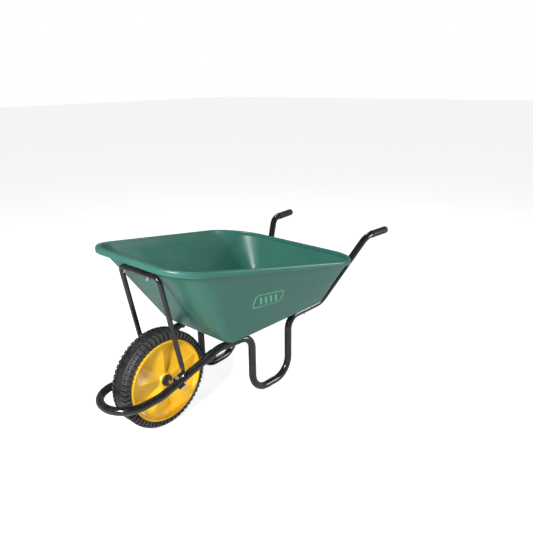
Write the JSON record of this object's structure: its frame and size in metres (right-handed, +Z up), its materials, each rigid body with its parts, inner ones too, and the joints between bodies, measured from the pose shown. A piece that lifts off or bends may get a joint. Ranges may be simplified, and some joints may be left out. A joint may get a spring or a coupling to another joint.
{
  "type": "wheelbarrow",
  "caption": "Garden wheelbarrow: deep moulded tray with a sloping front, bent tube frame with looped legs and a front hoop, a prop to the tray's front, and one spoked wheel turning on an axle",
  "frame": {"origin": "on the ground, in the middle of the barrow's length and width", "axes": "+X forward to the wheel, +Y to the operator's left, +Z up"},
  "size_m": [1.4929, 0.803, 0.7261],
  "materials": {
    "green_plastic": "satin moulded, bottle green",
    "black_paint": "gloss black enamel on bent tube",
    "yellow_plastic": "satin moulded, yellow",
    "tyre_rubber": "matt black rubber",
    "grip_rubber": "matt black",
    "black_plastic": "matt black",
    "zinc_steel": "bright zinc plate"
  },
  "bodies": {
    "frame": {"axle": "zinc_steel", "axle_bolt_left": "zinc_steel", "axle_bolt_right": "zinc_steel", "axle_nut_left": "zinc_steel", "axle_nut_right": "zinc_steel", "frame_tube_left": "black_paint", "frame_tube_right": "black_paint", "front_hoop": "black_paint", "front_stay": "black_paint", "front_strap": "black_paint", "grip_left": "grip_rubber", "grip_right": "grip_rubber", "rear_strap": "black_paint", "stay_bolt_left": "zinc_steel", "stay_bolt_right": "zinc_steel", "stay_nut_left": "zinc_steel", "stay_nut_right": "zinc_steel", "strap_nut_front_left": "zinc_steel", "strap_nut_front_right": "zinc_steel", "strap_nut_rear_left": "zinc_steel", "strap_nut_rear_right": "zinc_steel", "strap_screw_front_left": "zinc_steel", "strap_screw_front_right": "zinc_steel", "strap_screw_rear_left": "zinc_steel", "strap_screw_rear_right": "zinc_steel", "tray": "green_plastic", "tray_bolt_front_left": "zinc_steel", "tray_bolt_front_right": "zinc_steel", "tray_bolt_rear_left": "zinc_steel", "tray_bolt_rear_right": "zinc_steel", "tray_nut_front_left": "zinc_steel", "tray_nut_front_right": "zinc_steel", "tray_nut_rear_left": "zinc_steel", "tray_nut_rear_right": "zinc_steel"},
    "wheel": {"tyre": "tyre_rubber", "wheel_centre": "yellow_plastic", "wheel_bush_left": "black_plastic", "wheel_bush_right": "black_plastic"}
  },
  "joints": [
    {"name": "wheel_spin", "type": "hinge", "parent": "frame", "child": "wheel", "pos_m": [0.4735, 0, 0.2], "axis": [0, 1, 0], "continuous": true}
  ]
}
